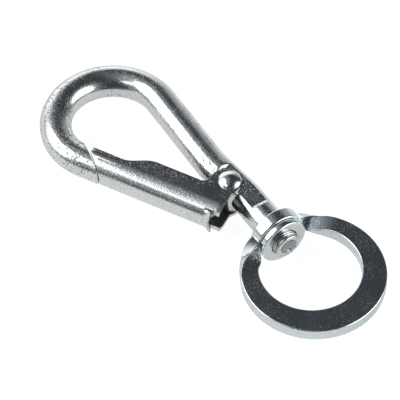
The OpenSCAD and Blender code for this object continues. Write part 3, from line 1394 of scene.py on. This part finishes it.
WORN_PLACE = PLAN.from_gate @ Vector((Gate.nose_x - 3.0, -1.5, 4.0)) * MM
FINISHES: dict[Finish, Zinc] = {
    Finish.FORGED: Zinc(
        rough=0.16, speckle=0.14, specks=0.28, pits=0.85, bump=0.6, worn_at=tuple(WORN_PLACE)
    ),
    Finish.TURNED: Zinc(tone=(0.42, 0.40, 0.36), rough=0.3),
    # Painted shade in the stud's dimple: dark, bluish and glossy.
    Finish.PUNCHED: Zinc(
        tone=(0.36, 0.39, 0.42), rough=0.14, speckle=0.05, specks=0.05, pits=0.0, bump=0.05
    ),
    Finish.PRESSED: Zinc(rough=0.2, speckle=0.35, specks=0.6, pits=0.5, bump=0.9),
    Finish.SHEET: Zinc(rough=0.16, speckle=0.16, specks=0.3, pits=0.4, bump=0.4),
    # Painted shade for the inside of the gate's channel and for the nose's slanted face.
    Finish.INSIDE: Zinc(tone=(0.2, 0.2, 0.17), rough=0.45, speckle=0.2),
    Finish.RIVET: Zinc(rough=0.12, speckle=0.03, specks=0.1, pits=0.0, bump=0.08),
    Finish.WIRE: Zinc(tone=(0.55, 0.56, 0.56), rough=0.3),
    Finish.STAMPED: Zinc(tone=(0.77, 0.84, 0.84), rough=0.15, specks=0.22, pits=0.2, bump=0.3),
}


# ---------------------------------------------------------------- studio


def direction(azimuth: float, height: float) -> Vector:
    """Returns the unit vector at an azimuth from +X and a height over the horizon, in degrees."""
    a, h = math.radians(azimuth), math.radians(height)
    return Vector((math.cos(a) * math.cos(h), math.sin(a) * math.cos(h), math.sin(h)))


@dataclass(frozen=True)
class Glow:
    """A soft round patch of light on the walls of the room.

    Attributes:
        azimuth: Direction of its middle in plan, in degrees from +X.
        height: Height of its middle above the horizon, in degrees.
        inner: Angle from the middle at which it starts to fade, in degrees.
        outer: Angle from the middle at which it has gone, in degrees.
        colour: Colour of its middle.
    """

    azimuth: float
    height: float
    inner: float
    outer: float
    colour: tuple[float, float, float]

    def add(self, wires: Wiring, place: Socket) -> Socket:
        """Adds the nodes of the patch.

        Args:
            wires: The wiring of the world.
            place: The socket that gives the direction of view.

        Returns:
            The socket that gives the patch's colour.
        """
        middle = direction(self.azimuth, self.height)
        towards = wires.add("VectorMath", {0: place, 1: middle}, "DOT_PRODUCT").outputs["Value"]
        limits = [math.cos(math.radians(angle)) for angle in (self.outer, self.inner)]
        feeds = {"Value": towards, "From Min": limits[0], "From Max": limits[1]}
        fade = wires.add("MapRange", feeds)
        fade.interpolation_type = "SMOOTHSTEP"
        return wires.scaled(self.colour, fade.outputs["Result"])


GLOWS = (
    Glow(163.0, 3.0, 8.0, 42.0, (1.05, 1.05, 1.05)),
    Glow(128.0, -2.0, 8.0, 42.0, (0.32, 0.33, 0.33)),
    Glow(-165.0, 5.0, 8.0, 40.0, (0.32, 0.33, 0.33)),
    Glow(-122.0, 42.0, 24.0, 60.0, (0.24, 0.25, 0.26)),
    Glow(36.0, 16.0, 24.0, 48.0, (0.25, 0.26, 0.27)),
)


@dataclass
class Studio:
    """The pale floor, the world, the lamps and the camera.

    Attributes:
        aim: What the camera and the lamps point at.
        back: Direction from there to the camera.
        distance: Distance of the camera, in millimetres.
        reach: Distance of the lamps, in metres.
        floor_gap: Gap between the hook and the floor.
        floor_tone: Colour of the floor under the lamps.
        floor_seen: Light that the floor gives off towards the camera.
        floor_mirrored: Light that it gives off into the metal.
        ceiling: Colour of the room away from its glows.
        lamps: Each lamp's name, azimuth, height and spread, in degrees.
        radiance: How bright the lamps' faces are.
    """

    aim: tuple[float, float, float] = (-33.9, -9.8, 0.0)
    back: tuple[float, float, float] = (0.519, -0.3435, 0.7826)
    distance: float = 582.5
    lens: float = 216.0
    reach: float = 0.9
    floor_gap: float = 0.2
    floor_tone: tuple[float, float, float] = (0.4, 0.405, 0.4)
    floor_seen: float = 0.85
    floor_mirrored: float = 0.48
    ceiling: tuple[float, float, float] = (0.043, 0.046, 0.054)
    lamps: tuple[tuple[str, float, float, float], ...] = (
        ("left_lamp", -127.0, 36.0, 28.0),
        ("near_lamp", -76.0, 47.0, 8.0),
        ("right_lamp", 39.0, 15.0, 29.0),
    )
    radiance: float = 2.0

    def camera(self) -> None:
        """Sets the camera up, looking down on the hook as it lies."""
        data = bpy.data.cameras.new("camera")
        data.lens = self.lens
        data.sensor_width = 36.0
        data.clip_start = 0.01
        data.clip_end = 20.0
        camera = bpy.data.objects.new("camera", data)
        bpy.context.scene.collection.objects.link(camera)
        back = Vector(self.back).normalized()
        camera.location = (Vector(self.aim) + back * self.distance) * MM
        camera.rotation_euler = back.to_track_quat("Z", "Y").to_euler()
        bpy.context.scene.camera = camera

    def lamp(self, name: str, azimuth: float, height: float, spread: float) -> None:
        """Hangs one round soft lamp, aimed at the hook.

        Args:
            name: The lamp's name.
            azimuth: Its direction in plan, in degrees from +X.
            height: Its height above the horizon, in degrees.
            spread: The angle from its middle to its rim, as the hook sees it, in degrees.
        """
        radius = self.reach * math.tan(math.radians(spread))
        data = bpy.data.lights.new(name, "AREA")
        data.shape = "DISK"
        data.size = 2 * radius
        data.energy = self.radiance * math.pi * math.pi * radius**2
        lamp = bpy.data.objects.new(name, data)
        bpy.context.scene.collection.objects.link(lamp)
        way = direction(azimuth, height)
        lamp.location = Vector(self.aim) * MM + way * self.reach
        lamp.rotation_euler = way.to_track_quat("Z", "Y").to_euler()

    def floor(self, level: float) -> None:
        """Lays the pale floor.

        Args:
            level: Its height, in metres.
        """
        deselect_all()
        bpy.ops.mesh.primitive_plane_add(size=6.0, location=(0.0, 0.0, level))
        floor = bpy.context.object
        floor.name = "floor"
        settle(floor)
        material = bpy.data.materials.new("pale_floor")
        wires = Wiring.on(material)
        path = wires.add("LightPath", {}).outputs
        mirrored = wires.math("MULTIPLY", path["Is Glossy Ray"], self.floor_mirrored)
        seen = wires.math("MULTIPLY_ADD", path["Is Camera Ray"], self.floor_seen, mirrored)
        matt = wires.add("BsdfDiffuse", {"Color": (*self.floor_tone, 1.0)})
        glow = wires.add("Emission", {"Strength": seen})
        both = wires.add("AddShader", {0: matt.outputs["BSDF"], 1: glow.outputs["Emission"]})
        wires.add("OutputMaterial", {"Surface": both.outputs["Shader"]})
        floor.data.materials.append(material)

    def world(self) -> None:
        """Surrounds the hook with a dark room that is pale at its far end."""
        world = bpy.data.worlds.new("room")
        bpy.context.scene.world = world
        wires = Wiring.on(world)
        place = wires.add("TexCoord", {}).outputs["Generated"]
        total: Source = self.ceiling
        for glow in GLOWS:
            sum_up = wires.add("VectorMath", {0: total, 1: glow.add(wires, place)})
            total = sum_up.outputs["Vector"]
        sky = wires.add("Background", {"Color": total})
        wires.add("OutputWorld", {"Surface": sky.outputs["Background"]})

    def build(self) -> None:
        """Builds the whole studio."""
        self.camera()
        self.world()
        self.floor(CAD_BOX[0][2] - self.floor_gap * MM)
        for lamp in self.lamps:
            self.lamp(*lamp)
        scene = bpy.context.scene
        scene.view_settings.view_transform = "Standard"


# ---------------------------------------------------------------- assembly


class Maker(Protocol):
    """What builds one piece."""

    def build(self) -> Piece:
        """Builds the piece and returns it in object mode."""


@dataclass(frozen=True)
class Job:
    """One piece to make.

    Attributes:
        maker: What builds it.
        body: The body it rides on.
        node: The solid it stands for.
        finish: Its finish.
        others: Finishes for some of its faces alone, each with a test that takes a face's middle
            in millimetres and its normal.
        bends_to: The body that a springy piece would bend to, if it does. Such a piece is not bent
            here: it is kept out of every body, with its place put into its mesh.
        bend: Where the bend between the two bodies starts and ends, in metres. It is not used.
    """

    maker: Maker
    body: str
    node: str
    finish: Finish
    others: tuple[tuple[Finish, FaceTest], ...] = ()
    bends_to: str = ""
    bend: tuple[Vector, Vector] = (Vector(), Vector())

    def dress(self, piece: Piece, materials: dict[Finish, bpy.types.Material]) -> None:
        """Gives the piece its finishes.

        Args:
            piece: The finished piece.
            materials: The material of each finish.
        """
        piece.data.materials.clear()
        piece.data.materials.append(materials[self.finish])
        for finish, where in self.others:
            piece.data.materials.append(materials[finish])
            piece.active_material_index = len(piece.data.materials) - 1
            edit(piece)
            pick(piece, Part.FACES, where)
            bpy.ops.object.material_slot_assign()
            done()


def on_stud_side(middle: Vector, normal: Vector) -> bool:
    """Says whether a face lies on the turned side of the stud, beyond the washer."""
    return middle.x > PLAN.washer_x + 1.0 and abs(normal.x) < 0.6


# The faces picked here get painted shade in the dimple.
def in_dimple(middle: Vector, normal: Vector) -> bool:
    """Says whether a face lies in the dimple of the stud's end."""
    floor = HookBody.stud_end - HookBody.dimple - 0.1
    return middle.x > floor and math.hypot(middle.y, middle.z) < HookBody.dimple_r


def on_flats(middle: Vector, normal: Vector) -> bool:
    """Says whether a face lies on the pressed flats beside the pivot."""
    return abs(normal.z) > 0.98 and abs(abs(middle.z) - PLAN.flat_half) < 0.06


# The faces picked here get painted shade, which stands in for the dark gap between the nose and the
# gate.
def on_nose_face(middle: Vector, normal: Vector) -> bool:
    """Says whether a face lies on the slanted end of the nose, against which the gate closes.

    Args:
        middle: Middle of the face, in millimetres.
        normal: Its normal.

    Returns:
        Whether it does.
    """
    back, turn = PLAN.from_gate.inverted(), math.radians(Gate.front_turn)
    side = Vector((-math.sin(turn), math.cos(turn), 0.0))
    gap = (back @ middle - Vector((Gate.nose_x, -Gate.nose_out, 0.0))).dot(side)
    return abs(gap) < 0.2 and (back.to_3x3() @ normal).dot(side) > 0.9


# The faces picked here get painted shade, which stands in for the shade inside the channel.
def in_gate_channel(middle: Vector, normal: Vector) -> bool:
    """Says whether a face looks into the gate's channel.

    Args:
        middle: Middle of the face, in millimetres.
        normal: Its normal.

    Returns:
        Whether it does.
    """
    back, wall = PLAN.from_gate.inverted(), PLAN.gate_half - 0.6
    _, y, z = back @ middle
    _, ny, nz = back.to_3x3() @ normal
    if y < 0:
        return math.hypot(y, z) < wall and ny * y + nz * z < 0
    return abs(z) < wall and nz * z < 0


HOOK_DETAILS = (
    (Finish.TURNED, on_stud_side),
    # Painted shade in the stud's dimple.
    (Finish.PUNCHED, in_dimple),
    (Finish.PRESSED, on_flats),
    # Painted shade on the nose's slanted face.
    (Finish.INSIDE, on_nose_face),
)
SPRING_BEND = (
    PLAN.from_gate @ Vector(GateSpring.holds) * MM,
    PLAN.from_gate @ Vector(GateSpring.swings) * MM,
)
JOBS = (
    Job(HookBody(), "hook", "hook_body", Finish.FORGED, HOOK_DETAILS),
    # The inside of the gate's channel gets painted shade.
    Job(Gate(), "gate", "gate", Finish.SHEET, ((Finish.INSIDE, in_gate_channel),)),
    Job(Rivet(), "hook", "gate_rivet", Finish.RIVET),
    Job(GateSpring(), "hook", "gate_spring", Finish.WIRE, (), "gate", SPRING_BEND),
    Job(SwivelRing(), "ring", "swivel_ring", Finish.STAMPED),
    Job(EndWasher(), "hook", "end_washer", Finish.STAMPED),
)


def main() -> None:
    """Builds the studio and each piece in turn."""
    logging.basicConfig(level=logging.INFO, format="%(name)s: %(message)s")
    Studio().build()
    group = plate_group()
    materials = {kind: zinc.make(kind.value, group) for kind, zinc in FINISHES.items()}
    for job in JOBS:
        piece = job.maker.build()
        job.dress(piece, materials)
        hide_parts(job.node)
        if job.bends_to:
            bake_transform(piece)
        else:
            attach(piece, job.body)
        LOG.info("%s: %d faces on %s", piece.name, len(piece.data.polygons), job.body)


if __name__ == "__main__":
    main()
